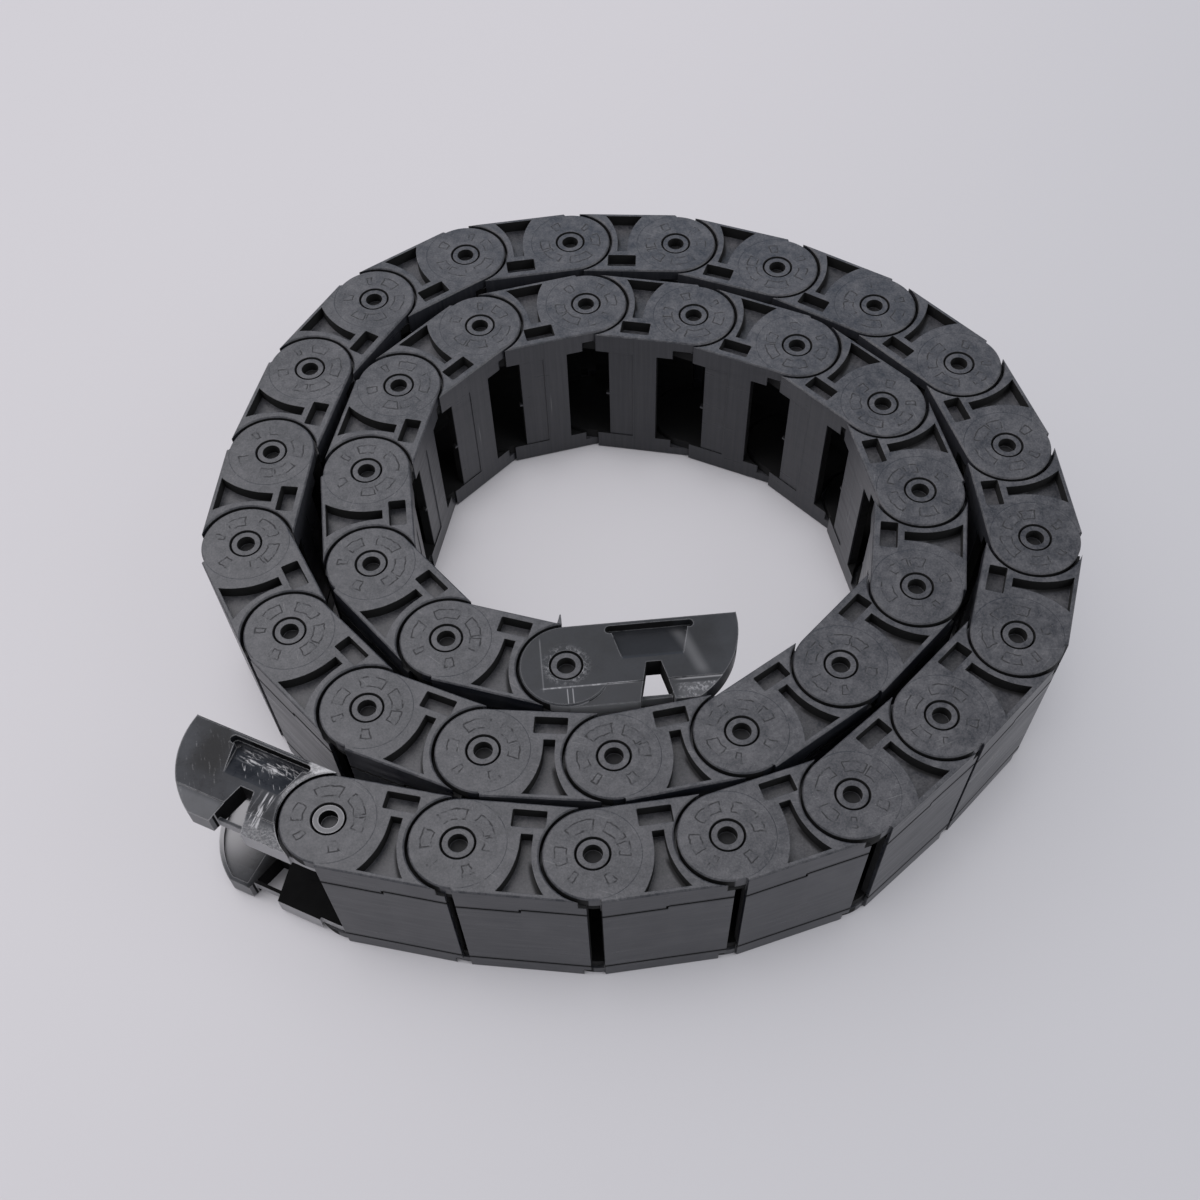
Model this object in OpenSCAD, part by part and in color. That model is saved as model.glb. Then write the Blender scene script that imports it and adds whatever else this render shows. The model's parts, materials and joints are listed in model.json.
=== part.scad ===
/* [Chain] */
// Distance between neighbouring pivots
pitch = 26; // [24:0.5:32]
// Width over both side plates, which is the height of the chain lying on its side
chain_width = 38; // [26:1:60]
// Pivot line to the inner edge of a side plate, which is also the radius of its disc end
inner_reach = 9.7; // [9:0.1:10.4]
// Pivot line to the face of the outer wall
outer_reach = 10.3; // [9.8:0.1:11.5]
// Tightest bend between neighbouring links, in degrees
bend_limit = 36; // [35:1:38]

/* [Coil] */
// Turns that the links make as the chain lies
turns = 2.06; // [1.6:0.01:2.06]
// Room between neighbouring turns
turn_gap = 2.5; // [2.5:0.1:6]
// Direction from the middle of the coil to the first pivot, in degrees
start_angle = -126.5; // [-180:0.5:180]
// How much longer the coil is than a round one, each way
oval = 3; // [0:0.5:3]
// Direction of the long way, in degrees
oval_angle = -8; // [-90:1:90]
// How far the coil bulges at its three lobes
lobe = 2; // [0:0.5:2]
// Direction of one lobe, in degrees
lobe_angle = -10; // [-60:1:60]
// How far each pivot lies off the smooth coil as seen, from the outer end in, each [-2.5:0.5:2.5]
slack = [
    1, -2.5, -1.5, -0.5, 1, -2, 0.5, -0.5, -1.5, 1.5, 1, 0, 0, -1, 1.5, 1.5, -0.5, -1.5, 2,
    -1, -1, -1, 0, 1.5, -1.5, 0, -1.5, 1.5, 1.5, 0, 0, 0.5, 0.5, -1.5, -0.5, -1, 0];
// Bend of the outer end bracket at the first pivot, in degrees
outer_bend = 13; // [0:1:14]
// Bend of the inner end bracket at the last pivot, in degrees
inner_bend = 21; // [21:1:36]
// Middle of the coil, measured from the middle of the whole lying chain
coil_middle = [-6.16, 4.52]; // [-10:0.01:10]

/* [Side plates] */
// Thickness of a side plate
plate = 2.6; // [2.2:0.1:3.5]
// Thickness of the tongue that runs behind the next side plate
tongue = 2.4; // [1.8:0.1:3]
// Running room between a side plate and the tongue behind it
side_gap = 0.2; // [0.15:0.05:0.4]
// Room round the disc end of a side plate
disc_gap = 0.6; // [0.55:0.05:0.8]
// Further room below the disc end
heel_gap = 0.15; // [0:0.05:0.5]
// How much smaller the tongue is than the disc end
tongue_inset = 0.5; // [0.4:0.05:1]
// Room round a tongue, past its own end
tongue_gap = 0.5; // [0.4:0.05:0.8]
// How much the room round a tongue is raised towards the inner edge
tongue_rise = 0.3; // [0.2:0.05:0.4]
// How far the point of a side plate is blunted at the inner edge
tip_cut = 0.4; // [0.2:0.05:0.8]
// Chamfer on the edges of the side faces
edge_break = 0.3; // [0.1:0.05:0.5]

/* [Pivots] */
// Diameter of a pivot pin
pin_d = 6.6; // [5:0.1:8]
// Running room round a pivot pin
pin_fit = 0.1; // [0.05:0.01:0.1]
// How far a pin ends below the side face
pin_drop = 0.15; // [0.05:0.05:0.5]
// How much a pin's end tapers in, and its hole opens out, at the side face
pin_break = 0.2; // [0.1:0.05:0.4]
// Length of that taper along the pin
pin_lead = 0.9; // [0.4:0.1:1.5]
// Diameter of the blind hollow in a pin
hollow_d = 3.9; // [2:0.1:4.2]
// Depth of the blind hollow in a pin
hollow_depth = 2.3; // [1:0.1:3.5]

/* [Bend stops] */
// Direction of each stop lug round its pivot, in degrees
stop_at = [125, 56]; // [0:1:360]
// Width of a stop lug, in degrees
stop_width = 10; // [6:1:14]
// Inner radius of the slot that a stop lug rides in
stop_inner = 5.1; // [4.9:0.1:5.4]
// Outer radius of the slot that a stop lug rides in
stop_outer = 7.3; // [6.8:0.1:7.8]
// Height of a stop lug on its tongue
stop_height = 0.8; // [0.5:0.1:1.2]
// Room between a stop lug and the sides of its slot
stop_fit = 0.2; // [0.1:0.05:0.3]
// Play of a stop lug at each end of its slot, in degrees
stop_play = 0.5; // [0.2:0.1:1]

/* [Pockets] */
// Depth of the blind pockets in the side faces
pocket_depth = 2.8; // [0.5:0.1:3]
// Width of the rectangular pocket
pocket_w = 6.8; // [4:0.1:7]
// Height of the rectangular pocket
pocket_h = 3.8; // [2:0.1:4.4]
// Rim between the rectangular pocket and the inner edge
pocket_rim = 1.5; // [1:0.1:2]
// Corner radius of the rectangular pocket
pocket_round = 0.3; // [0.2:0.1:0.9]
// Width of the funnel pocket's neck
neck_w = 2.4; // [1.5:0.1:3]
// Top of the funnel pocket above the pivot line
neck_top = 3; // [1:0.1:3.4]
// Height above the pivot line at which the funnel starts to open
flare_from = 0.8; // [-1:0.1:1]
// Radius of the funnel's flared sides
flare_radius = 17.2; // [16:0.1:30]
// Rim between the funnel pocket and the outer edge
funnel_rim = 0.9; // [0.6:0.1:2]

/* [Walls] */
// Thickness of the outer wall
outer_wall = 2.2; // [1.5:0.1:2.6]
// Room between the outer walls of neighbouring links when straight
wall_gap = 0.5; // [0.3:0.05:1]
// Distance of the wall's upper parting groove from the side face, on the tongue half
groove_top = 5.9; // [5.6:0.1:8]
// How much further in the upper parting groove runs on the disc half
groove_step = 1; // [0.5:0.1:2]
// Distance of the wall's lower parting groove from the other side face
groove_bottom = 4.7; // [4:0.1:8]
// Width and depth of the parting grooves
groove = 0.45; // [0.2:0.05:0.8]
// Thickness of the inner crossbar
bar = 2.4; // [1.5:0.1:3]
// Width of the inner crossbar along the chain
bar_w = 11.6; // [6:0.1:13]
// Distance of the inner crossbar from its own pivot
bar_from = 7.4; // [7.4:0.1:9]
// Step across the middle of the inner crossbar
bar_step = 0.2; // [0.1:0.05:0.8]
// Diameter of the nub on the edge of the inner crossbar
nub_d = 1.2; // [0.8:0.1:1.6]
// How far the nub stands out
nub = 0.8; // [0.4:0.1:1.2]

/* [End brackets] */
// Pivot to the far corner of an end bracket
bracket_len = 36.2; // [34:0.1:40]
// Pivot line to the outer edge of an end bracket
bracket_reach = 9.8; // [9.4:0.1:9.8]
// Radius of the rounded far end
end_radius = 19.9; // [18.5:0.1:22]
// Height of that radius's middle above the pivot line
end_rise = 7.4; // [5:0.1:9]
// Pivot to the middle of the fastening notch
notch_at = 17.9; // [16:0.1:19]
// Width of the notch at its closed end
notch_top_w = 3; // [2:0.1:5]
// Width of the notch at the outer edge
notch_mouth_w = 7.2; // [5:0.1:9]
// Height of the notch from the outer edge
notch_h = 8.9; // [6:0.1:9.4]
// Width along the bracket of its crossbar
bracket_bar_w = 6; // [4:0.1:6.6]
// Thickness of the rib that closes the notch behind the plate
rib = 0.8; // [0.6:0.1:1.5]
// Distance of that rib from the outer edge
rib_in = 1.6; // [1:0.1:3]
// Length of the thumb recess at the inner edge
recess_len = 18.4; // [12:0.1:19]
// Length of the thumb recess at its shallow side
recess_short = 12.6; // [8:0.1:13]
// Rim between the thumb recess and the inner edge
recess_rim = 1; // [0.6:0.1:2]
// Height of the thumb recess
recess_h = 8.3; // [5:0.1:8.6]
// Deepest part of the thumb recess
recess_depth = 2; // [1:0.1:2.4]
// Height of the thumb recess's deep slot
recess_slot = 1.8; // [1:0.1:3]
// Height of the bevelled band along the outer edge
band_h = 4.5; // [2:0.1:6]
// Depth of the bevelled band at the outer edge
band_depth = 0.8; // [0.4:0.1:1.2]
// Depth of the step at the top of the bevelled band
band_step = 0.15; // [0.05:0.05:0.3]
// Width of the lip that runs round the far end of an end bracket on its inner face
lip = 1; // [0.6:0.1:2]
// Height of that lip
lip_h = 0.8; // [0.4:0.1:1]

/* [Hidden] */
$fn = 96;
link_count = 36;
tiny = 0.01;
side = plate + side_gap + tongue;
tongue_r = inner_reach - tongue_inset;
room_r = tongue_r + tongue_gap + tongue_rise;
shoulder_r = inner_reach + disc_gap;
shoulder_back = sqrt(shoulder_r * shoulder_r - inner_reach * inner_reach) + tip_cut;
middle = pitch / 2;
turn_at = bracket_len - sqrt(end_radius * end_radius - pow(inner_reach - end_rise, 2));
turn_step = inner_reach + outer_reach + turn_gap;
start_radius = link_count * pitch / (2 * PI * turns) + turn_step * turns / 2;
plastic = [0.16, 0.16, 0.17];

// Where the coil's line runs at an angle round its middle
function coil_radius(a) =
    start_radius - turn_step * (a - start_angle) / 360
    + oval * cos(2 * (a - oval_angle))
    + lobe * cos(3 * (a - lobe_angle));

// Pivot number i if it lay at an angle round the middle
function pivot_at(i, a) = (coil_radius(a) + slack[i]) * [cos(a), sin(a)];

// The angle at which pivot i is one pitch from the pivot before it
function pitch_on(i, from, low, high, tries) =
    let (half = (low + high) / 2)
    tries == 0 ? half
    : norm(pivot_at(i, half) - from) < pitch ? pitch_on(i, from, half, high, tries - 1)
    : pitch_on(i, from, low, half, tries - 1);

// Every pivot's angle from pivot i inwards, given its own
function pivot_angles(i, a) =
    i == link_count ? [a]
    : concat([a], pivot_angles(i + 1, pitch_on(i + 1, pivot_at(i, a), a, a + 60, 40)));

angles = pivot_angles(0, start_angle);
pivots = [for (i = [0:link_count]) coil_middle + pivot_at(i, angles[i])];

// Direction of link i, counted from 0
function heading(i) =
    let (step = pivots[i + 1] - pivots[i])
    atan2(step.y, step.x);

module lay(spot, direction) {
    translate([spot.x, spot.y, 0])
        rotate([0, 0, direction])
            children();
}

// Draws a side's shape, whose face is at z = 0, on both sides of the chain
module both_sides() {
    children();
    translate([0, 0, chain_width])
        mirror([0, 0, 1])
            children();
}

// A wedge of a ring between two angles
module ring_part(inner, outer, from, to, height) {
    span = (to - from) / 2;
    far = outer + 1;
    linear_extrude(height)
        rotate(from + span)
            intersection() {
                difference() {
                    circle(outer);
                    circle(inner);
                }
                polygon([[0, 0], [far, -far * tan(span)], [far, far * tan(span)]]);
            }
}

// The round end of a side plate
module disc() {
    cylinder(edge_break, inner_reach - edge_break, inner_reach);
    translate([0, 0, edge_break])
        cylinder(plate - edge_break, inner_reach, inner_reach);
}

// What a disc end takes out at its own pivot: pin hole, stop slots and room for the tongue behind
module disc_cuts() {
    hole_r = pin_d / 2 + pin_fit;
    translate([0, 0, -tiny])
        cylinder(side, hole_r, hole_r);
    translate([0, 0, -tiny])
        cylinder(pin_lead, hole_r + pin_break, hole_r);
    for (a = stop_at)
        translate([0, 0, plate - stop_height])
            ring_part(
                stop_inner, stop_outer,
                a - bend_limit - stop_width / 2 - stop_play, a + stop_width / 2 + stop_play, side);
    translate([0, tongue_rise, plate])
        cylinder(side_gap + tongue + tongue_gap, room_r, room_r);
}

// The room that a side plate leaves round the disc end of the next one
module shoulder() {
    for (low = [0, heel_gap])
        translate([0, -low, 0]) {
            translate([0, 0, -tiny])
                cylinder(plate + side_gap + tiny, shoulder_r, shoulder_r);
            translate([0, 0, -tiny])
                cylinder(edge_break, shoulder_r + edge_break, shoulder_r);
        }
}

// The tongue that reaches back from a pivot, with its hollow pin and stop lugs
module tongue_end() {
    pin_r = pin_d / 2;
    lug_in = stop_inner + stop_fit;
    lug_out = stop_outer - stop_fit;
    difference() {
        union() {
            translate([0, 0, plate + side_gap])
                linear_extrude(tongue)
                    union() {
                        circle(tongue_r);
                        translate([-shoulder_r - 1, -tongue_r])
                            square([shoulder_r + 1, 2 * tongue_r]);
                    }
            translate([0, 0, pin_drop])
                cylinder(pin_lead, pin_r - pin_break, pin_r);
            translate([0, 0, pin_drop + pin_lead])
                cylinder(side - pin_drop - pin_lead, pin_r, pin_r);
            for (a = stop_at)
                translate([0, 0, plate + side_gap - stop_height])
                    ring_part(lug_in, lug_out, a - stop_width / 2, a + stop_width / 2, stop_height + tiny);
        }
        cylinder(pin_drop + hollow_depth, hollow_d / 2, hollow_d / 2);
    }
}

// Chamfer along a straight edge of a side face, at a height from the pivot line
module edge_chamfer(from, to, height) {
    leg = edge_break * sqrt(2);
    translate([(from + to) / 2, height, 0])
        rotate([45, 0, 0])
            cube([to - from, leg, leg], center = true);
}

// Inner crossbar with a step across its middle and a nub on its edge, between the two sides
module crossbar(along) {
    between = chain_width - 2 * side;
    translate([bar_from, inner_reach - bar, side - tiny])
        cube([along, bar - bar_step, between + 2 * tiny]);
    translate([bar_from, inner_reach - bar, side - tiny])
        cube([along / 2, bar, between + 2 * tiny]);
    translate([bar_from + along - tiny, inner_reach - bar_step - nub_d / 2, chain_width / 2])
        rotate([0, 90, 0])
            cylinder(nub + tiny, nub_d / 2, nub_d / 2);
}

// Rectangular pocket with rounded corners near the inner edge
module rect_pocket() {
    across = pocket_w - 2 * pocket_round;
    up = pocket_h - 2 * pocket_round;
    low = inner_reach - pocket_rim - pocket_h;
    corners_x = [pocket_round, pocket_w - pocket_round];
    corners_y = [pocket_round, pocket_h - pocket_round];
    translate([middle - pocket_w / 2, low, -tiny])
        linear_extrude(pocket_depth)
            union() {
                translate([0, pocket_round])
                    square([pocket_w, up]);
                translate([pocket_round, 0])
                    square([across, pocket_h]);
                for (x = corners_x, y = corners_y)
                    translate([x, y])
                        circle(pocket_round);
            }
}

// Pocket that opens from a narrow neck towards the outer edge, between two round flanks
module funnel_pocket() {
    low = -outer_reach + funnel_rim;
    fall = flare_from - low;
    flank_at = neck_w / 2 + flare_radius;
    translate([middle, 0, -tiny])
        linear_extrude(pocket_depth)
            union() {
                translate([-neck_w / 2, low])
                    square([neck_w, neck_top - low]);
                difference() {
                    translate([-flank_at, low])
                        square([2 * flank_at, fall]);
                    for (way = [-1, 1])
                        translate([way * flank_at, flare_from])
                            circle(flare_radius);
                }
            }
}

// Parting grooves on the outer wall's face, the upper one with a step in its middle
module wall_grooves() {
    top = chain_width - groove_top - groove;
    across = 1 + groove;
    translate([0, -outer_reach - 1, 0]) {
        translate([-1, 0, top - groove_step])
            cube([middle + 1, across, groove]);
        translate([middle - groove, 0, top - groove_step])
            cube([groove, across, groove_step + groove]);
        translate([middle - groove, 0, top])
            cube([middle + 1 + groove, across, groove]);
        translate([-1, 0, groove_bottom])
            cube([pitch + 2, across, groove]);
    }
}

// One link, from its own pivot at the origin to the next one along +X, with the coil's inside at +Y
module link() {
    web_end = pitch - shoulder_back;
    difference() {
        union() {
            both_sides() {
                disc();
                translate([0, -inner_reach, 0])
                    cube([web_end, 2 * inner_reach, side]);
            }
            translate([wall_gap / 2, -outer_reach, 0])
                cube([pitch - wall_gap, outer_wall, chain_width]);
            crossbar(bar_w);
        }
        both_sides() {
            disc_cuts();
            translate([pitch, 0, 0])
                shoulder();
            edge_chamfer(0, pitch, inner_reach);
            edge_chamfer(0, pitch, -outer_reach);
            rect_pocket();
            funnel_pocket();
        }
        wall_grooves();
    }
    both_sides()
        translate([pitch, 0, 0])
            tongue_end();
}

// Rounded far end of an end bracket's side, past a distance along it and inset from its edges
module far_end(from, inset) {
    intersection() {
        translate([turn_at, end_rise])
            circle(end_radius - inset);
        translate([from, inset - bracket_reach])
            square([bracket_len, bracket_reach + inner_reach - 2 * inset]);
    }
}

// Side outline of an end bracket, from a distance along it to its far end
module bracket_outline(from) {
    translate([from, -bracket_reach])
        square([turn_at - from, bracket_reach + inner_reach]);
    far_end(turn_at, 0);
}

// Fastening notch in the outer edge of an end bracket
module notch(depth) {
    translate([notch_at, -bracket_reach, 0])
        linear_extrude(depth)
            polygon([
                [-notch_mouth_w / 2, 0], [notch_mouth_w / 2, 0],
                [notch_top_w / 2, notch_h], [-notch_top_w / 2, notch_h]]);
}

// Thumb recess: a slot with round ends along the inner edge, whose floor rises away from it
module recess() {
    top = inner_reach - recess_rim;
    slot_r = recess_slot / 2;
    intersection() {
        translate([notch_at, top, -tiny])
            linear_extrude(recess_depth + 1)
                polygon([
                    [slot_r - recess_len / 2, 0], [recess_len / 2 - slot_r, 0],
                    [recess_short / 2, -recess_h], [-recess_short / 2, -recess_h]]);
        translate([0, top, 0])
            rotate([90, 0, 90])
                linear_extrude(bracket_len)
                    polygon([
                        [0, -1], [0, recess_depth], [-slot_r, recess_depth],
                        [-recess_h, 0], [-recess_h, -1]]);
    }
    translate([notch_at, top - slot_r, -tiny])
        linear_extrude(recess_depth + tiny)
            for (way = [-1, 1])
                translate([way * (recess_len / 2 - slot_r), 0])
                    circle(slot_r);
}

// Bevelled band along the outer edge of an end bracket, with a step at its top
module edge_band() {
    translate([-1, -bracket_reach, 0])
        rotate([90, 0, 90])
            linear_extrude(bracket_len + 2)
                polygon([
                    [-1, -1], [band_h, -1], [band_h, band_step], [0, band_depth], [-1, band_depth]]);
}

// Hollow on the inner face of an end bracket's far end, inside the lip
module lip_hollow() {
    translate([0, 0, side - lip_h])
        linear_extrude(lip_h + 1)
            far_end(notch_at + notch_mouth_w / 2 + lip, lip);
}

// Both sides and the crossbar of an end bracket along +X, with its notches and recesses
module bracket_body(from) {
    difference() {
        union() {
            both_sides()
                linear_extrude(side)
                    bracket_outline(from);
            crossbar(bracket_bar_w);
        }
        both_sides() {
            translate([0, 0, -tiny])
                notch(side + 1);
            recess();
            edge_band();
            edge_chamfer(0, bracket_len, inner_reach);
            lip_hollow();
        }
    }
    both_sides()
        intersection() {
            notch(side);
            translate([0, -bracket_reach + rib_in, plate + side_gap])
                cube([bracket_len, rib, tongue]);
        }
}

module outer_end_bracket() {
    color(plastic)
        lay(pivots[0], heading(0) - outer_bend) {
            difference() {
                mirror([1, 0, 0])
                    bracket_body(shoulder_back);
                both_sides()
                    shoulder();
            }
            both_sides()
                tongue_end();
        }
}

module inner_end_bracket() {
    color(plastic)
        lay(pivots[link_count], heading(link_count - 1) + inner_bend)
            difference() {
                union() {
                    both_sides()
                        disc();
                    bracket_body(0);
                }
                both_sides()
                    disc_cuts();
            }
}

module chain_link(i) {
    color(plastic)
        lay(pivots[i - 1], heading(i - 1))
            link();
}

module link_01() { chain_link(1); }
module link_02() { chain_link(2); }
module link_03() { chain_link(3); }
module link_04() { chain_link(4); }
module link_05() { chain_link(5); }
module link_06() { chain_link(6); }
module link_07() { chain_link(7); }
module link_08() { chain_link(8); }
module link_09() { chain_link(9); }
module link_10() { chain_link(10); }
module link_11() { chain_link(11); }
module link_12() { chain_link(12); }
module link_13() { chain_link(13); }
module link_14() { chain_link(14); }
module link_15() { chain_link(15); }
module link_16() { chain_link(16); }
module link_17() { chain_link(17); }
module link_18() { chain_link(18); }
module link_19() { chain_link(19); }
module link_20() { chain_link(20); }
module link_21() { chain_link(21); }
module link_22() { chain_link(22); }
module link_23() { chain_link(23); }
module link_24() { chain_link(24); }
module link_25() { chain_link(25); }
module link_26() { chain_link(26); }
module link_27() { chain_link(27); }
module link_28() { chain_link(28); }
module link_29() { chain_link(29); }
module link_30() { chain_link(30); }
module link_31() { chain_link(31); }
module link_32() { chain_link(32); }
module link_33() { chain_link(33); }
module link_34() { chain_link(34); }
module link_35() { chain_link(35); }
module link_36() { chain_link(36); }

outer_end_bracket();
link_01();
link_02();
link_03();
link_04();
link_05();
link_06();
link_07();
link_08();
link_09();
link_10();
link_11();
link_12();
link_13();
link_14();
link_15();
link_16();
link_17();
link_18();
link_19();
link_20();
link_21();
link_22();
link_23();
link_24();
link_25();
link_26();
link_27();
link_28();
link_29();
link_30();
link_31();
link_32();
link_33();
link_34();
link_35();
link_36();
inner_end_bracket();
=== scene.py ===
import json
import math
import bpy
from mathutils import Matrix, Vector


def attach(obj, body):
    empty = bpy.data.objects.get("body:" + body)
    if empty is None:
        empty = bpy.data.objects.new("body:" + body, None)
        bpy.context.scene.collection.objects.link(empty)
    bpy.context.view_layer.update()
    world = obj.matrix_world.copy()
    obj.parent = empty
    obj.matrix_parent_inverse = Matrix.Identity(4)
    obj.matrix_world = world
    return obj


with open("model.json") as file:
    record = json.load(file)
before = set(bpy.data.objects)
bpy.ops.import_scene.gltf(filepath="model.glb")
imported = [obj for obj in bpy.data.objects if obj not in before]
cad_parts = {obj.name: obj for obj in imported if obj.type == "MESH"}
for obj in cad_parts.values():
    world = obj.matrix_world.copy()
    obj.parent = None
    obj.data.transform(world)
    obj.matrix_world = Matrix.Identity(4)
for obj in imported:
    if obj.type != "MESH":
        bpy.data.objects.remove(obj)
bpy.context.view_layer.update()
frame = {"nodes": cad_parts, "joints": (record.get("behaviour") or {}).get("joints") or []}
mm = 0.001

# the line of pivots, outer end first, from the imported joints
pivots = [Vector(joint["pos_m"]) for joint in frame["joints"]]
linkNames = ["link_%02d" % (i + 1) for i in range(len(pivots) - 1)]
# sizes of the mouldings, mm and degrees
chain = dict(
    width=38,            # height of the chain as it lies
    inside=9.7,          # from a pivot to the inner edge
    outside=10.3,        # from a pivot to the outer wall
    bracketOutside=9.8,  # from a pivot to a bracket's outer edge
    pitch=26,
    barMiddle=13.2,      # middle of the crossbar along the link
    pocketFloor=2.8,     # depth of the pockets in a side plate
    outerBend=13,        # bend between the outer bracket and the first link
    innerBend=21,        # bend between the last link and the inner bracket
)


def headingBetween(start, end):
    step = end - start
    return math.atan2(step.y, step.x)


# every moulding's own place: its pivot and the way that it points
places = {}
for name, start, end in zip(linkNames, pivots, pivots[1:]):
    places[name] = (start, headingBetween(start, end))
firstHeading, lastHeading = places[linkNames[0]][1], places[linkNames[-1]][1]
places["outer_end_bracket"] = (pivots[0], firstHeading - math.radians(chain["outerBend"]))
places["inner_end_bracket"] = (pivots[-1], lastHeading + math.radians(chain["innerBend"]))


class Wire:
    # a shader socket that can be used in plain sums
    def __init__(self, tree, socket=None):
        self.tree = tree
        self.socket = socket

    def make(self, kind, inputs=None, out=0, **settings):
        node = self.tree.nodes.new("ShaderNode" + kind)
        for key, value in settings.items():
            setattr(node, key, value)
        for key, value in (inputs or {}).items():
            if isinstance(value, Wire):
                self.tree.links.new(value.socket, node.inputs[key])
            else:
                node.inputs[key].default_value = value
        return Wire(self.tree, node.outputs[out])

    def maths(self, operation, *values, clamp=False):
        return self.make("Math", dict(enumerate(values)), operation=operation, use_clamp=clamp)

    def __add__(self, other):
        return self.maths("ADD", self, other)

    def __radd__(self, other):
        return self.maths("ADD", other, self)

    def __sub__(self, other):
        return self.maths("SUBTRACT", self, other)

    def __rsub__(self, other):
        return self.maths("SUBTRACT", other, self)

    def __mul__(self, other):
        return self.maths("MULTIPLY", self, other)

    def __rmul__(self, other):
        return self.maths("MULTIPLY", other, self)

    def __pow__(self, other):
        return self.maths("POWER", self, other)

    def __abs__(self):
        return self.maths("ABSOLUTE", self)

    def clamp(self):
        return self.maths("ADD", self, 0, clamp=True)

    def either(self, other):
        return self.maths("MAXIMUM", self, other)

    def rise(self, low, high):
        # 0 below low, 1 above high, smooth between
        return self.make("MapRange", {"Value": self, "From Min": low, "From Max": high},
                         interpolation_type="SMOOTHSTEP")

    def near(self, middle, reach):
        # 1 at middle, fading to 0 at reach on either side
        return 1 - abs(self - middle).rise(0, reach)

    def within(self, low, high, soft):
        # 1 between low and high, fading over soft outside them
        return self.rise(low - soft, low) * (1 - self.rise(high, high + soft))

    def noise(self, scale, detail=3, rough=0.55, stretch=(1, 1, 1), turn=0):
        turned = self.make("Mapping", {"Vector": self, "Rotation": (0, 0, math.radians(turn))})
        drawn = self.make("Mapping", {"Vector": turned, "Scale": stretch})
        return self.make("TexNoise", {"Vector": drawn, "Scale": scale, "Detail": detail, "Roughness": rough})

    def split(self):
        node = self.make("SeparateXYZ", {0: self}).socket.node
        return [Wire(self.tree, node.outputs[i]) for i in range(3)]


def mixColour(factor, low, high):
    return factor.make("Mix", {0: factor, 6: low, 7: high}, out=2, data_type="RGBA")


def startMaterial(name, finish):
    material = bpy.data.materials.new(name)
    material.use_nodes = True
    shader = material.node_tree.nodes["Principled BSDF"]
    shader.inputs["IOR"].default_value = finish["ior"]
    return material, Wire(material.node_tree), shader


def join(wire, shader, socketName):
    wire.tree.links.new(wire.socket, shader.inputs[socketName])


def localPoint(wire):
    # millimetres from the moulding's own pivot, x along it and y to the inside of the coil
    here = wire.make("TexCoord", out="Object")
    return wire.make("Mapping", {"Vector": here, "Scale": (mm, mm, mm)}, vector_type="TEXTURE", name="place")


def seeded(point):
    # the same point moved far off, by another step on each moulding, for its noises
    return point.make("Mapping", {"Vector": point}, name="seed")


seedStep = (57.3, 31.7, 83.1)


def settle(material, name, place, order):
    # a copy of a finish for one moulding, set to its place
    own = material.copy()
    own.name = name
    pivot, heading = place
    nodes = own.node_tree.nodes
    nodes["place"].inputs["Location"].default_value = (pivot.x, pivot.y, 0)
    nodes["place"].inputs["Rotation"].default_value = (0, 0, heading)
    nodes["seed"].inputs["Location"].default_value = [step * order for step in seedStep]
    return own


def faces(wire):
    # 1 on the faces that lie flat and 0 on the upright ones
    normal = wire.make("NewGeometry", out="Normal")
    return abs(normal.split()[2]).rise(0.3, 0.6)


def depthBelow(z):
    # how far below the nearer of the two outside faces
    middle = chain["width"] / 2
    return middle - abs(z - middle)


def belowPockets(depth):
    return depth.rise(chain["pocketFloor"] + 0.3, chain["pocketFloor"] + 0.6)


def plasticGrain(grains):
    # broad clouds, patches and fine grain, the same in every moulding
    cloud = grains.noise(0.13, detail=4)
    patch = grains.noise(0.5, detail=3, rough=0.6)
    grain = grains.noise(2.2, detail=3, rough=0.65)
    return cloud, patch, grain


def roundedNormal(wire, radius):
    return wire.make("Bevel", {"Radius": radius * mm}, samples=4)


def edges(wire, radius):
    # 1 along the edges of a moulding and 0 away from them
    normal = wire.make("NewGeometry", out="Normal")
    same = wire.make("VectorMath", {0: normal, 1: roundedNormal(wire, radius)}, out="Value",
                     operation="DOT_PRODUCT")
    return (1 - same).rise(0.01, 0.15)


def joinRelief(wire, shader, height, finish):
    # fine relief, in mm, over the rounded edges
    relief = wire.make("Bump", {"Height": height, "Strength": 0.5, "Distance": mm,
                                "Normal": roundedNormal(wire, finish["edge"])})
    join(relief, shader, "Normal")


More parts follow.
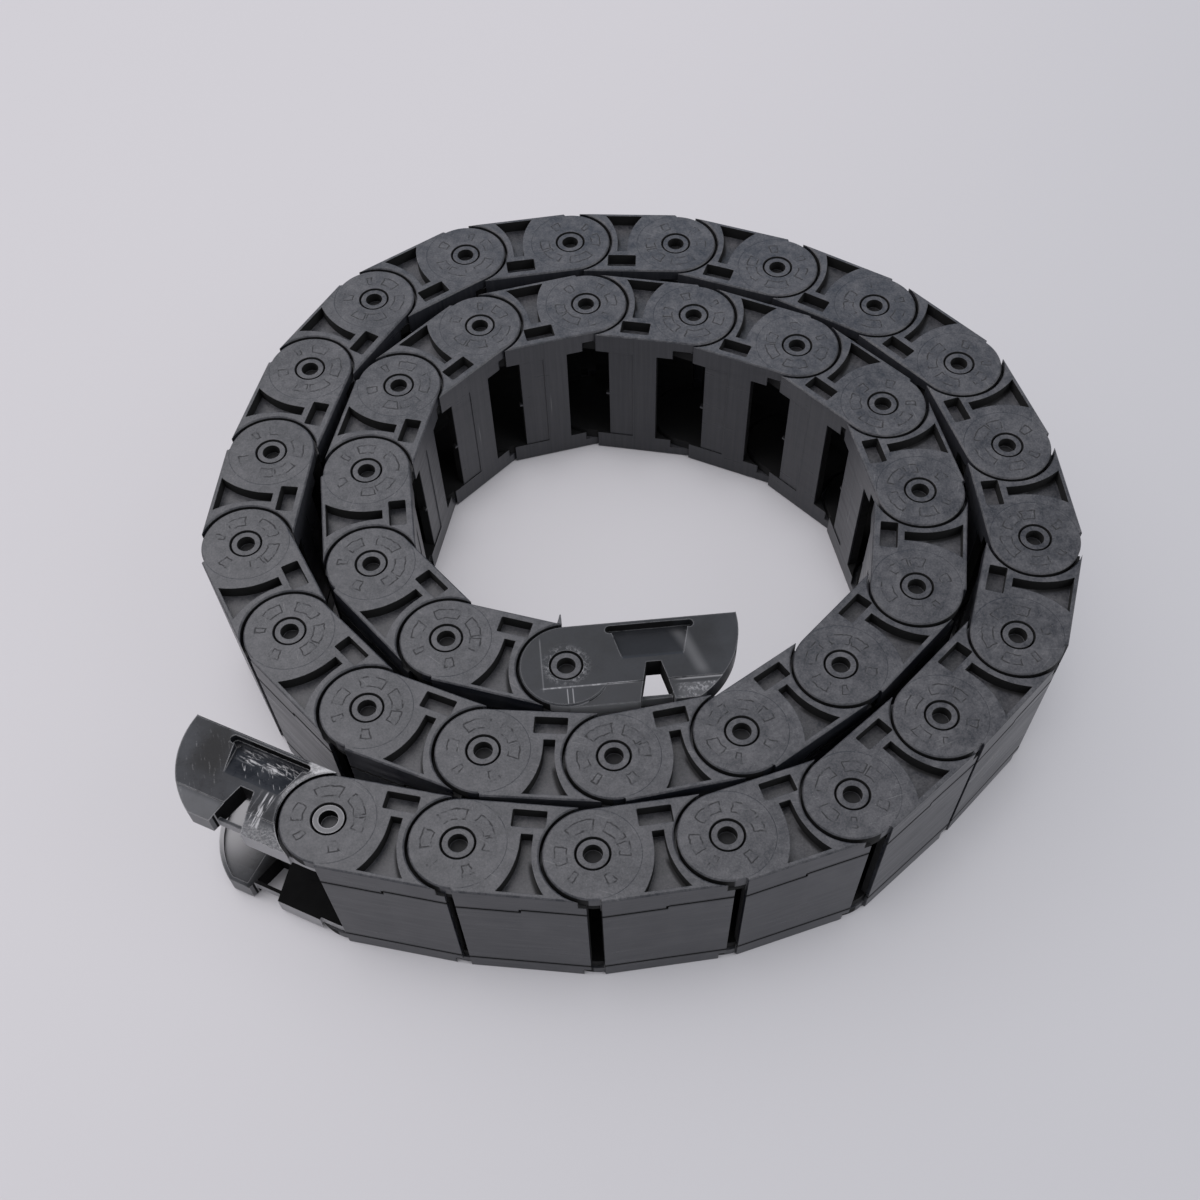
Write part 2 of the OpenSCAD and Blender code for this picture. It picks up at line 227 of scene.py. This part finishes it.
linkFinish = dict(
    ior=1.5,
    dark=(0.0150, 0.0172, 0.0240, 1),
    pale=(0.093, 0.092, 0.101, 1),
    wornAndGlint=(0.22, 0.22, 0.225, 1),
    # colour of the painted shade
    hollow=(0.0025, 0.0025, 0.003, 1),
    edge=0.22,                       # rounding of the edges, mm
    # sink marks on a disc: middle and half width in degrees, then the two radii in mm
    marks=((106, 24), (40, 20), (177, 17), (1, 13), (-65, 8), (-135, 5)),
    markInner=5.1,
    markOuter=7.3,
    markLine=0.27,
    markWander=0.6,
    ring=9.5,                        # line that goes on round the disc over the plate
    ringLine=0.16,
    pinHollow=1.85,                  # radius of the hollow in a pin
    flank=(31.4, 0.8, 17.2),         # middle and radius of the funnel pocket's far side
    groove=(4.925, 30.875, 31.875),  # heights of the wall's parting grooves
    grooveLine=1,
    # noises
    each=dict(scale=0.012, detail=0),
    wander=dict(scale=0.8, detail=1),
    scratch=dict(scale=0.9, detail=2, stretch=(0.12, 2.6, 1), turn=25),
    nick=dict(scale=1.1, detail=2, stretch=(2.4, 0.16, 1), turn=-15),
    speck=dict(scale=3.4, detail=1),
    wallStreak=dict(scale=0.8, detail=4, rough=0.6, stretch=(0.07, 1, 0.9)),
    barStreak=dict(scale=0.9, detail=3, rough=0.6, stretch=(1.4, 1, 0.05)),
    # shares of the pale colour on the flat faces, the outer wall and the crossbar; the flat faces start paler than
    # the outer wall, a painted sheen
    topTone=dict(base=0.33, cloud=0.4, patch=1.3, grain=1.5, ring=0.6),
    wallTone=dict(base=-0.25, streak=0.5, cloud=0.8, second=0.06, each=0.3, lip=0.1),
    barTone=dict(base=0.22, streak=0.2, each=0.5, crease=0.16),
    # shares of the worn colour, which also carries a painted glint, and of the painted shade on marks, grooves, the
    # pin's hollow and the funnel's corner
    wearAndGlint=dict(scuff=0.28, speck=0.3, shine=0.55),
    dim=dict(marks=0.85, grooves=0.8, pinHollow=0.75, corner=0.9),
    topRough=dict(base=0.42, patch=0.22, grain=0.2, cloud=0.25),
    wallRough=dict(base=0.34, streak=0.4),
    sunkRough=dict(hollow=0.6, rest=0.35),
    relief=dict(grain=0.06, patch=0.06, streak=0.08, marks=0.05, ring=0.06),
)


def sinkMarks(x, y, radius, wander, finish):
    # outlines of the marks that the stops leave on the disc's face
    middle = (finish["markInner"] + finish["markOuter"]) / 2
    half = (finish["markOuter"] - finish["markInner"]) / 2
    lines = None
    for turn, spread in finish["marks"]:
        cosTurn, sinTurn = math.cos(math.radians(turn)), math.sin(math.radians(turn))
        along = x.maths("ARCTAN2", y * cosTurn - x * sinTurn, x * cosTurn + y * sinTurn) * middle
        past = abs(along) - math.radians(spread) * middle
        out = past.either(abs(radius - middle) - half) + wander
        line = out.near(0, finish["markLine"])
        lines = line if lines is None else lines.either(line)
    return lines


def linkPlastic():
    finish = linkFinish
    material, wire, shader = startMaterial("linkPlastic", finish)
    point = localPoint(wire)
    x, y, z = point.split()
    grains = seeded(point)
    flat = faces(wire)
    upright = 1 - flat
    radius = (x * x + y * y) ** 0.5
    depth = depthBelow(z)
    topFace = flat * (1 - depth.rise(0.2, 0.4))
    outerWall = upright * (1 - y.rise(0.8 - chain["outside"], 0.9 - chain["outside"]))
    innerWall = upright * y.rise(chain["inside"] - 0.5, chain["inside"] - 0.4)
    # painted shade: what lies between the outer wall and the inner edge, away from the light, and the flat faces
    # below the pockets
    hollow = (upright - outerWall - innerWall + flat * belowPockets(depth)).clamp()

    # flat faces
    cloud, patch, grain = plasticGrain(grains)
    disc = 1 - radius.rise(chain["inside"] - 0.3, chain["inside"] - 0.1)
    wander = (grains.noise(**finish["wander"]) - 0.5) * finish["markWander"]
    marks = sinkMarks(x, y, radius, wander, finish) * patch.rise(0.38, 0.54) * disc * topFace
    ring = radius.near(finish["ring"], finish["ringLine"]) * x.rise(-1, 3) * patch.rise(0.3, 0.5) * topFace
    scratch = grains.noise(**finish["scratch"]).rise(0.66, 0.72)
    nick = grains.noise(**finish["nick"]).rise(0.69, 0.75)
    scuff = (scratch + nick).clamp() * cloud.rise(0.42, 0.6) * topFace
    speck = grains.noise(**finish["speck"]).rise(0.70, 0.76) * topFace
    pinRadius = ((x - chain["pitch"]) ** 2 + y * y) ** 0.5
    # painted shade on the floor of the pin's hollow
    pinHollow = flat * (1 - pinRadius.rise(finish["pinHollow"] - 0.15, finish["pinHollow"])) * depth.rise(0.5, 1)
    # painted shade on the funnel pocket's floor along its far side
    flankX, flankY, flankRadius = finish["flank"]
    fromFlank = ((x - flankX) ** 2 + (y - flankY) ** 2) ** 0.5 - flankRadius
    corner = flat * depth.within(2.4, 3, 0.2) * (1 - fromFlank.rise(0.3, 1.1)) * (1 - y.rise(-3, -1))

    # outer wall and crossbar
    each = grains.noise(**finish["each"])
    streak = grains.noise(**finish["wallStreak"])
    second = x.rise(chain["pitch"] / 2 - 0.15, chain["pitch"] / 2 + 0.15)
    bottom, first, last = finish["groove"]
    upper = (z - second * (last - first)).near(first, finish["grooveLine"])
    # the wall's parting grooves, darkened with painted shade
    grooves = z.near(bottom, finish["grooveLine"]).either(upper) * outerWall
    barStreak = grains.noise(**finish["barStreak"])
    crease = x.near(chain["barMiddle"] - 0.4, 0.25) * innerWall
    # painted glint on the crossbar, on some links
    shine = x.near(chain["barMiddle"] - 1.2, 0.22) * z.near(17.5, 4.5) * each.rise(0.46, 0.56) * innerWall

    # the flat faces' tone starts higher than the wall's: a painted sheen on top
    top, wall, bar = finish["topTone"], finish["wallTone"], finish["barTone"]
    topTone = (cloud.rise(0.3, 0.75) * top["cloud"] + (patch - 0.5) * top["patch"]
               + (grain - 0.5) * top["grain"] + top["base"])
    wallTone = (streak.rise(0.25, 0.75) * wall["streak"] + (cloud - 0.5) * wall["cloud"]
                + wall["second"] * second + (each - 0.5) * wall["each"] + wall["lip"] * z.rise(31, 33) + wall["base"])
    barTone = (barStreak.rise(0.3, 0.75) * bar["streak"] + (each - 0.5) * bar["each"] + bar["base"]
               - bar["crease"] * crease)
    tone = (flat * topTone + outerWall * wallTone + innerWall * barTone - top["ring"] * ring).clamp()
    wearAndGlint, dim = finish["wearAndGlint"], finish["dim"]
    wornAndGlint = (wearAndGlint["scuff"] * scuff + wearAndGlint["speck"] * speck + wearAndGlint["shine"] * shine).clamp()
    colour = mixColour(wornAndGlint, mixColour(tone, finish["dark"], finish["pale"]), finish["wornAndGlint"])
    # painted shade toward the dark colour: the hollows, the sink marks' outlines, the grooves, the pin's hollow and
    # the funnel's corner
    sunk = hollow.either(dim["marks"] * marks).either(dim["grooves"] * grooves)
    sunk = sunk.either(dim["pinHollow"] * pinHollow).either(dim["corner"] * corner)
    join(mixColour(sunk, colour, finish["hollow"]), shader, "Base Color")

    topRough, wallRough, sunkRough = finish["topRough"], finish["wallRough"], finish["sunkRough"]
    rough = (flat * (topRough["base"] + topRough["patch"] * (patch - 0.5) + topRough["grain"] * (grain - 0.5)
                     + topRough["cloud"] * (cloud - 0.5))
             + upright * (wallRough["base"] + wallRough["streak"] * (streak - 0.5)))
    rough = rough + sunkRough["hollow"] * hollow + sunkRough["rest"] * (marks + grooves + pinHollow + corner)
    join(rough.clamp(), shader, "Roughness")
    relief = finish["relief"]
    height = ((grain * relief["grain"] + patch * relief["patch"]) * flat + (streak * relief["streak"]) * outerWall
              - relief["marks"] * marks - relief["ring"] * ring)
    joinRelief(wire, shader, height, finish)
    return material


# what both brackets have
bracketFinish = dict(
    # colour of the painted shade
    hollow=(0.0025, 0.0025, 0.003, 1),
    edge=0.25,                       # rounding of the edges, mm
    # the light line along the edges is a painted highlight
    edgeLine=0.45,                   # width of the light line along the edges
    band=-5.3,                       # where the bevelled band along the outer edge starts
    rib=-8.2,                        # front of the rib across the notch
    recessTone=-0.1,
    notch=(14, 22, 0.5),             # reach of the notch along the bracket, with its softness
    # shares of the pale colour, with painted light on the bevelled band and toward the far tip, and of the white of
    # wear, with painted light on the rib's front and the outer edge walls
    tone=dict(base=0.05, cloud=0.6, patch=0.6, grain=0.4, band=0.35, tip=0.3),
    white=dict(rib=0.55, outerEdge=0.25, heel=0.45),
    spread=dict(patch=0.2, cloud=0.3, white=0.2, hollow=0.5),  # on top of the plain roughness
    relief=dict(grain=0.02, patch=0.03, white=0.04),
    # patch of painted shade in the far end's middle: along, then across, each with its softness
    farShadeAlong=(27, 30, 3.5),
    farShadeAcross=(1, 6, 4),
    farShadeWander=3,
)
outerBracketFinish = dict(
    bracketFinish,
    ior=1.25,
    way=-1,                          # the bracket lies behind its pivot
    dark=(0.0085, 0.0095, 0.0125, 1),
    pale=(0.046, 0.049, 0.057, 1),
    wornAndGlint=(0.48, 0.475, 0.49, 1),
    rough=0.28,
    edgeGlint=0.6,
    recessRough=0,
    farShade=0.75,                       # darkness of the far end's middle
    # noises of the rubbed places
    smear=dict(scale=1.0, detail=5, rough=0.7, stretch=(0.35, 1.5, 1), turn=8),
    curl=dict(scale=0.8, detail=3, rough=0.6, stretch=(0.3, 2.4, 1), turn=50),
    fine=dict(scale=2.2, detail=4, rough=0.7),
    jawStreak=dict(scale=1.0, detail=3, rough=0.6, stretch=(2.4, 0.22, 1)),
    # rubbed places, mm: low, high and softness along the bracket, then across it
    smearPlace=((11, 21, 4), (5, 7.4, 0.9)),
    curlPlace=((11, 21, 4), (1.5, 7, 1.5)),
    hornPlace=((0, 9, 1), (7.9, 9.6, 0.6)),
    jawPlace=((12.4, 14.3, 1.0), (-7, -0.5, 1)),
    farPlace=((26, 33, 3), (-6, 7, 2)),
)
innerBracketFinish = dict(
    bracketFinish,
    ior=1.4,
    way=1,                           # the bracket lies ahead of its pivot
    dark=(0.0105, 0.0120, 0.0155, 1),
    pale=(0.029, 0.031, 0.037, 1),
    wornAndGlint=(0.42, 0.42, 0.44, 1),
    rough=0.42,
    edgeGlint=0.35,
    recessRough=0.35,
    farShade=0.25,                       # darkness of the far end's middle
    fine=dict(scale=1.3, detail=4, rough=0.7),
    # rubbed places and the painted highlight, mm: low, high and softness
    stepAlong=(-4, 13, 2),
    creaseAcross=(-5, 6, 1.5),
    linesAcross=(-9, -6, 0.5),
    cornerAlong=(24, 31, 3),
    cornerAcross=(-9.6, -6.8, 0.5),
    glowAcross=(-3, 6, 3),
)


def outerWearAndReflection(along, y, depth, radius, grains, finish):
    # rubbed white: the recess floor, the horn and lip beside the first disc, the jaw, the heel and the far end;
    # painted reflection: the lower plate's inner face between the plates
    def at(name):
        alongReach, acrossReach = finish[name + "Place"]
        return along.within(*alongReach) * y.within(*acrossReach)

    smear = grains.noise(**finish["smear"]).rise(0.48, 0.66)
    curl = grains.noise(**finish["curl"]).rise(0.6, 0.7)
    fine = grains.noise(**finish["fine"]).rise(0.4, 0.65)
    jawStreak = grains.noise(**finish["jawStreak"]).rise(0.5, 0.64)
    face = 1 - depth.rise(2.2, 2.6)
    floor = depth.rise(0.05, 0.3) * (at("smear") * smear + at("curl") * curl * 0.7)
    horn = at("horn") * (0.5 + 0.35 * fine)
    lip = radius.within(10.2, 10.9, 0.4) * y.rise(-3, 3) * (0.25 + 0.4 * fine)
    jaw = at("jaw") * jawStreak * 0.8
    heel = along.within(3, 14, 1.5) * (1 - y.rise(-7.5, -5.5)) * (0.12 + 0.28 * fine)
    beak = along.rise(20.5, 21.5) * (1 - y.rise(-6.5, -5)) * 0.12
    farEnd = at("far") * fine * curl * 0.3
    pin = (1 - radius.rise(3.2, 3.4)) * 0.3
    # painted reflection: the lower plate's inner face between the plates, lighter toward the far end
    inner = depth.rise(3.6, 4.2) * along.rise(21, 33) * y.rise(-10, 0) * 0.8  # between the plates
    return face * (floor + horn + lip + jaw + heel + beak + farEnd + pin) + inner


def innerWearAndHighlight(along, y, depth, radius, grains, finish):
    # rubbed white: a line along the step, a crease, two short lines, the outer corner and a ring round the pin;
    # painted highlight: a slanted streak beside the recess ramp
    fine = grains.noise(**finish["fine"]).rise(0.46, 0.62)
    face = 1 - depth.rise(2.2, 2.6)
    step = y.near(finish["band"], 0.3) * along.within(*finish["stepAlong"]) * (0.35 + 0.5 * fine)
    crease = along.near(-5, 0.25) * y.within(*finish["creaseAcross"]) * 0.2
    lines = along.near(-0.2, 0.18).either(along.near(0.9, 0.18)) * y.within(*finish["linesAcross"]) * 0.6
    rubbedAndGlint = y.within(*finish["cornerAcross"]) * (0.12 + 0.4 * fine) + y.near(-5.6, 0.3) * 0.5
    corner = along.within(*finish["cornerAlong"]) * rubbedAndGlint
    ragged = (radius + 1.4 * (fine - 0.5)).near(4.4, 0.9) * fine * 0.4
    # painted highlight: a slanted streak beside the recess ramp
    glow = (along + 0.35 * y).near(26.3, 2.2) * y.within(*finish["glowAcross"]) * 0.16
    return face * (step + crease + lines + corner + ragged + glow)


def bracketPlastic(name, finish, wearAndGlint):
    material, wire, shader = startMaterial(name, finish)
    point = localPoint(wire)
    x, y, z = point.split()
    grains = seeded(point)
    flat = faces(wire)
    upright = 1 - flat
    radius = (x * x + y * y) ** 0.5
    along = x * finish["way"]
    depth = depthBelow(z)
    # painted shade: the inside faces below the pockets and the upright faces away from the edges, but not the outer
    # edge nor the rib's front
    inside = flat * belowPockets(depth) * (1 - along.rise(20, 24))
    outerEdge = upright * (1 - y.rise(0.9 - chain["bracketOutside"], 1.0 - chain["bracketOutside"]))
    edgeWall = y.rise(chain["inside"] - 0.5, chain["inside"] - 0.4).either(along.rise(22, 24))
    # painted light on the rib's lit front face
    ribFront = upright * y.within(finish["rib"] - 0.1, finish["rib"] + 0.1, 0.1) * along.within(*finish["notch"])
    hollow = (upright * (1 - edgeWall) - outerEdge + inside).clamp()
    hollow = (hollow - ribFront).clamp()

    cloud, patch, grain = plasticGrain(grains)
    sunk = depth.rise(0.05, 0.3) * (1 - depth.rise(2.2, 2.6)) * y.rise(-1, 1)
    band = 1 - y.rise(finish["band"] - 0.2, finish["band"])
    # painted highlight along the edges, in patches
    rubbedAndGlint = edges(wire, finish["edgeLine"]) * patch.rise(0.25, 0.5) * finish["edgeGlint"]
    share = finish["white"]
    # painted light on the outer edge walls, stronger toward the heel
    edgeWhite = outerEdge * (share["outerEdge"] + share["heel"] * (1 - along.rise(13.5, 15)))
    white = wearAndGlint(along, y, depth, radius, grains, finish) * flat + rubbedAndGlint + share["rib"] * ribFront + edgeWhite
    white = white.clamp()
    share = finish["tone"]
    # the bevelled band and the far tip are paler: painted light
    tone = (cloud.rise(0.3, 0.75) * share["cloud"] + (patch - 0.5) * share["patch"] + (grain - 0.5) * share["grain"]
            + finish["recessTone"] * sunk + share["band"] * band + share["tip"] * along.rise(28, 36) + share["base"])
    # painted shade in the far end's middle
    wide = finish["farShadeWander"] * (patch - 0.5)
    middle = (along + wide).within(*finish["farShadeAlong"]) * (y + wide).within(*finish["farShadeAcross"])
    farShade = finish["farShade"] * middle * flat
    colour = mixColour(tone.clamp(), finish["dark"], finish["pale"])
    colour = mixColour(farShade, colour, finish["hollow"])
    colour = mixColour(white, colour, finish["wornAndGlint"])
    join(mixColour(hollow, colour, finish["hollow"]), shader, "Base Color")

    share = finish["spread"]
    rough = (finish["rough"] + share["patch"] * (patch - 0.5) + share["cloud"] * (cloud - 0.5)
             + share["white"] * white + share["hollow"] * hollow + finish["recessRough"] * sunk)
    join(rough.clamp(), shader, "Roughness")
    share = finish["relief"]
    height = grain * share["grain"] + patch * share["patch"] + white * share["white"]
    joinRelief(wire, shader, height, finish)
    return material


finishes = {
    "link": linkPlastic(),
    "outer_end_bracket": bracketPlastic("outerBracketPlastic", outerBracketFinish, outerWearAndReflection),
    "inner_end_bracket": bracketPlastic("innerBracketPlastic", innerBracketFinish, innerWearAndHighlight),
}
for order, (name, place) in enumerate(places.items()):
    piece = frame["nodes"][name]
    own = settle(finishes["link" if name in linkNames else name], name + "_plastic", place, order)
    piece.data.materials.clear()
    piece.data.materials.append(own)
    "link_plastic" if name in linkNames else "bracket_plastic"
print("finishes:", len(places), "mouldings")

# the thin flash that stands on the last link's inner edge, mm
flash = dict(
    link=linkNames[-1],
    foot=21.7,    # middle of its foot along the link
    sink=0.1,     # how far the foot goes into the edge
    width=1.0,
    lean=-0.5,
    height=2.2,
    thick=0.45,
    drop=0.1,     # from the link's top face to the flash's
)


def edgeFlash():
    pivot, heading = places[flash["link"]]
    foot, width, lean, height = flash["foot"], flash["width"], flash["lean"], flash["height"]
    outline = [
        (foot - width / 2, -flash["sink"]),
        (foot + width / 2, -flash["sink"]),
        (foot + 0.25 * width + 0.4 * lean, 0.5 * height),
        (foot + 0.1 * width + lean, height),
        (foot - 0.15 * width + lean, 0.94 * height),
        (foot - 0.3 * width + 0.5 * lean, 0.45 * height),
    ]
    top = chain["width"] - flash["drop"]
    turn = Matrix.Rotation(heading, 4, "Z")
    corners = []
    for level in (top - flash["thick"], top):
        for along, out in outline:
            corners.append(pivot.to_2d().to_3d() + turn @ Vector((along, chain["inside"] + out, level)) * mm)
    count = len(outline)
    sides = [(i, (i + 1) % count, count + (i + 1) % count, count + i) for i in range(count)]
    mesh = bpy.data.meshes.new("edgeFlash")
    mesh.from_pydata(corners, [], [tuple(range(count))[::-1], tuple(range(count, 2 * count))] + sides)
    piece = bpy.data.objects.new("edgeFlash", mesh)
    bpy.context.scene.collection.objects.link(piece)
    mesh.materials.append(bpy.data.materials[flash["link"] + "_plastic"])
    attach(piece, flash["link"])


edgeFlash()
print("flash: on", flash["link"])

table = dict(
    ior=1.45,
    reach=3.0,
    tint=(0.595, 0.58, 0.61, 1),
    shade=(0.57, 0.562, 0.592, 1),
    cloud=2.0,                       # scale of the change from shade to tint
    rough=0.6,
    lit=0.68,                        # share of the table's tone that shadow can't take
    close=0.025,                     # reach of the dark close round and under the part, m
    clear=(0.15, 0.9),               # how open a spot is where that dark is whole, and where it ends
    # painted falloff of light on the floor's glow: brighter to the left and back, dimmer to the right and front
    bright=(0.640, 0.622, 0.660, 1),
    dim=(0.535, 0.535, 0.575, 1),
    lightFalloffWay=(0.8, -0.5),             # from bright to dim, to the right and the front
    lightFalloff=(-0.12, 0.14),
)


def tableTop():
    half = table["reach"]
    mesh = bpy.data.meshes.new("tableTop")
    corners = [(-half, -half, 0), (half, -half, 0), (half, half, 0), (-half, half, 0)]
    mesh.from_pydata(corners, [], [(0, 1, 2, 3)])
    top = bpy.data.objects.new("tableTop", mesh)
    bpy.context.scene.collection.objects.link(top)
    material, wire, shader = startMaterial("tableTop", table)
    shader.inputs["Roughness"].default_value = table["rough"]
    here = wire.make("TexCoord", out="Object")
    join(mixColour(here.noise(table["cloud"]), table["shade"], table["tint"]), shader, "Base Color")
    x, y = here.split()[:2]
    wayX, wayY = table["lightFalloffWay"]
    # painted falloff of light across the floor
    lightFalloff = (x * wayX + y * wayY).rise(*table["lightFalloff"])
    glow = wire.make("Emission", {"Color": mixColour(lightFalloff, table["bright"], table["dim"]), "Strength": 1})
    rays = wire.make("LightPath", out="Is Camera Ray").either(wire.make("LightPath", out="Is Glossy Ray"))
    openSky = wire.make("AmbientOcclusion", {"Distance": table["close"]}, out="AO", samples=8)
    share = rays * table["lit"] * openSky.rise(*table["clear"])
    surface = wire.make("MixShader", {0: share, 1: Wire(wire.tree, shader.outputs[0]), 2: glow})
    wire.tree.links.new(surface.socket, material.node_tree.nodes["Material Output"].inputs["Surface"])
    mesh.materials.append(material)


tableTop()
print("table: reach", table["reach"], "m")

lamps = dict(
    overhead=dict(place=(-0.46, 0.36, 1.12), size=1.15, watts=9.6, tint=(1.0, 0.975, 0.985)),
    side=dict(place=(1.2, -0.5, 0.9), size=1.0, watts=6.3, tint=(0.95, 0.975, 1.0)),
    left=dict(place=(-1.3, 0.1, 0.8), size=0.9, watts=2.8, tint=(1.0, 0.97, 0.99)),
    window=dict(place=(0.2, 1.5, 0.8), size=1.0, watts=1.3, tint=(0.25, 0.55, 1.0)),
)
sky = dict(strength=0.45, tint=(0.95, 0.965, 1.0, 1))
lampTarget = Vector((0, 0, 0.02))


def lightRoom():
    for name, setting in lamps.items():
        data = bpy.data.lights.new(name + "Lamp", "AREA")
        data.size = setting["size"]
        data.energy = setting["watts"]
        data.color = setting["tint"]
        lamp = bpy.data.objects.new(name + "Lamp", data)
        lamp.location = setting["place"]
        lamp.rotation_euler = (lampTarget - lamp.location).to_track_quat("-Z", "Y").to_euler()
        bpy.context.scene.collection.objects.link(lamp)
    world = bpy.data.worlds.new("room")
    world.use_nodes = True
    background = world.node_tree.nodes["Background"]
    background.inputs["Color"].default_value = sky["tint"]
    background.inputs["Strength"].default_value = sky["strength"]
    bpy.context.scene.world = world


lightRoom()
print("light:", ", ".join(lamps), "and sky")

# the camera stands in front of the coil and looks steeply down
viewer = dict(
    place=(-10.99 * mm, -197.27 * mm, 275.16 * mm),
    elevation=math.radians(62.20),
    roll=math.radians(-2.92),
    lens=41.45,
    sensor=36,
    shiftUp=1 / 6,
)


def setCamera():
    data = bpy.data.cameras.new("viewer")
    data.lens = viewer["lens"]
    data.sensor_width = viewer["sensor"]
    data.shift_y = viewer["shiftUp"]
    camera = bpy.data.objects.new("viewer", data)
    tilt = viewer["elevation"]
    across = Vector((1, 0, 0))
    upright = Vector((0, math.sin(tilt), math.cos(tilt)))
    back = Vector((0, -math.cos(tilt), math.sin(tilt)))
    cosRoll, sinRoll = math.cos(viewer["roll"]), math.sin(viewer["roll"])
    right = cosRoll * across + sinRoll * upright
    up = cosRoll * upright - sinRoll * across
    turn = Matrix((right, up, back)).transposed()
    camera.matrix_world = Matrix.Translation(viewer["place"]) @ turn.to_4x4()
    bpy.context.scene.collection.objects.link(camera)
    bpy.context.scene.camera = camera


setCamera()
print("camera: lens", viewer["lens"], "mm")
bpy.context.scene.view_settings.view_transform = "Standard"
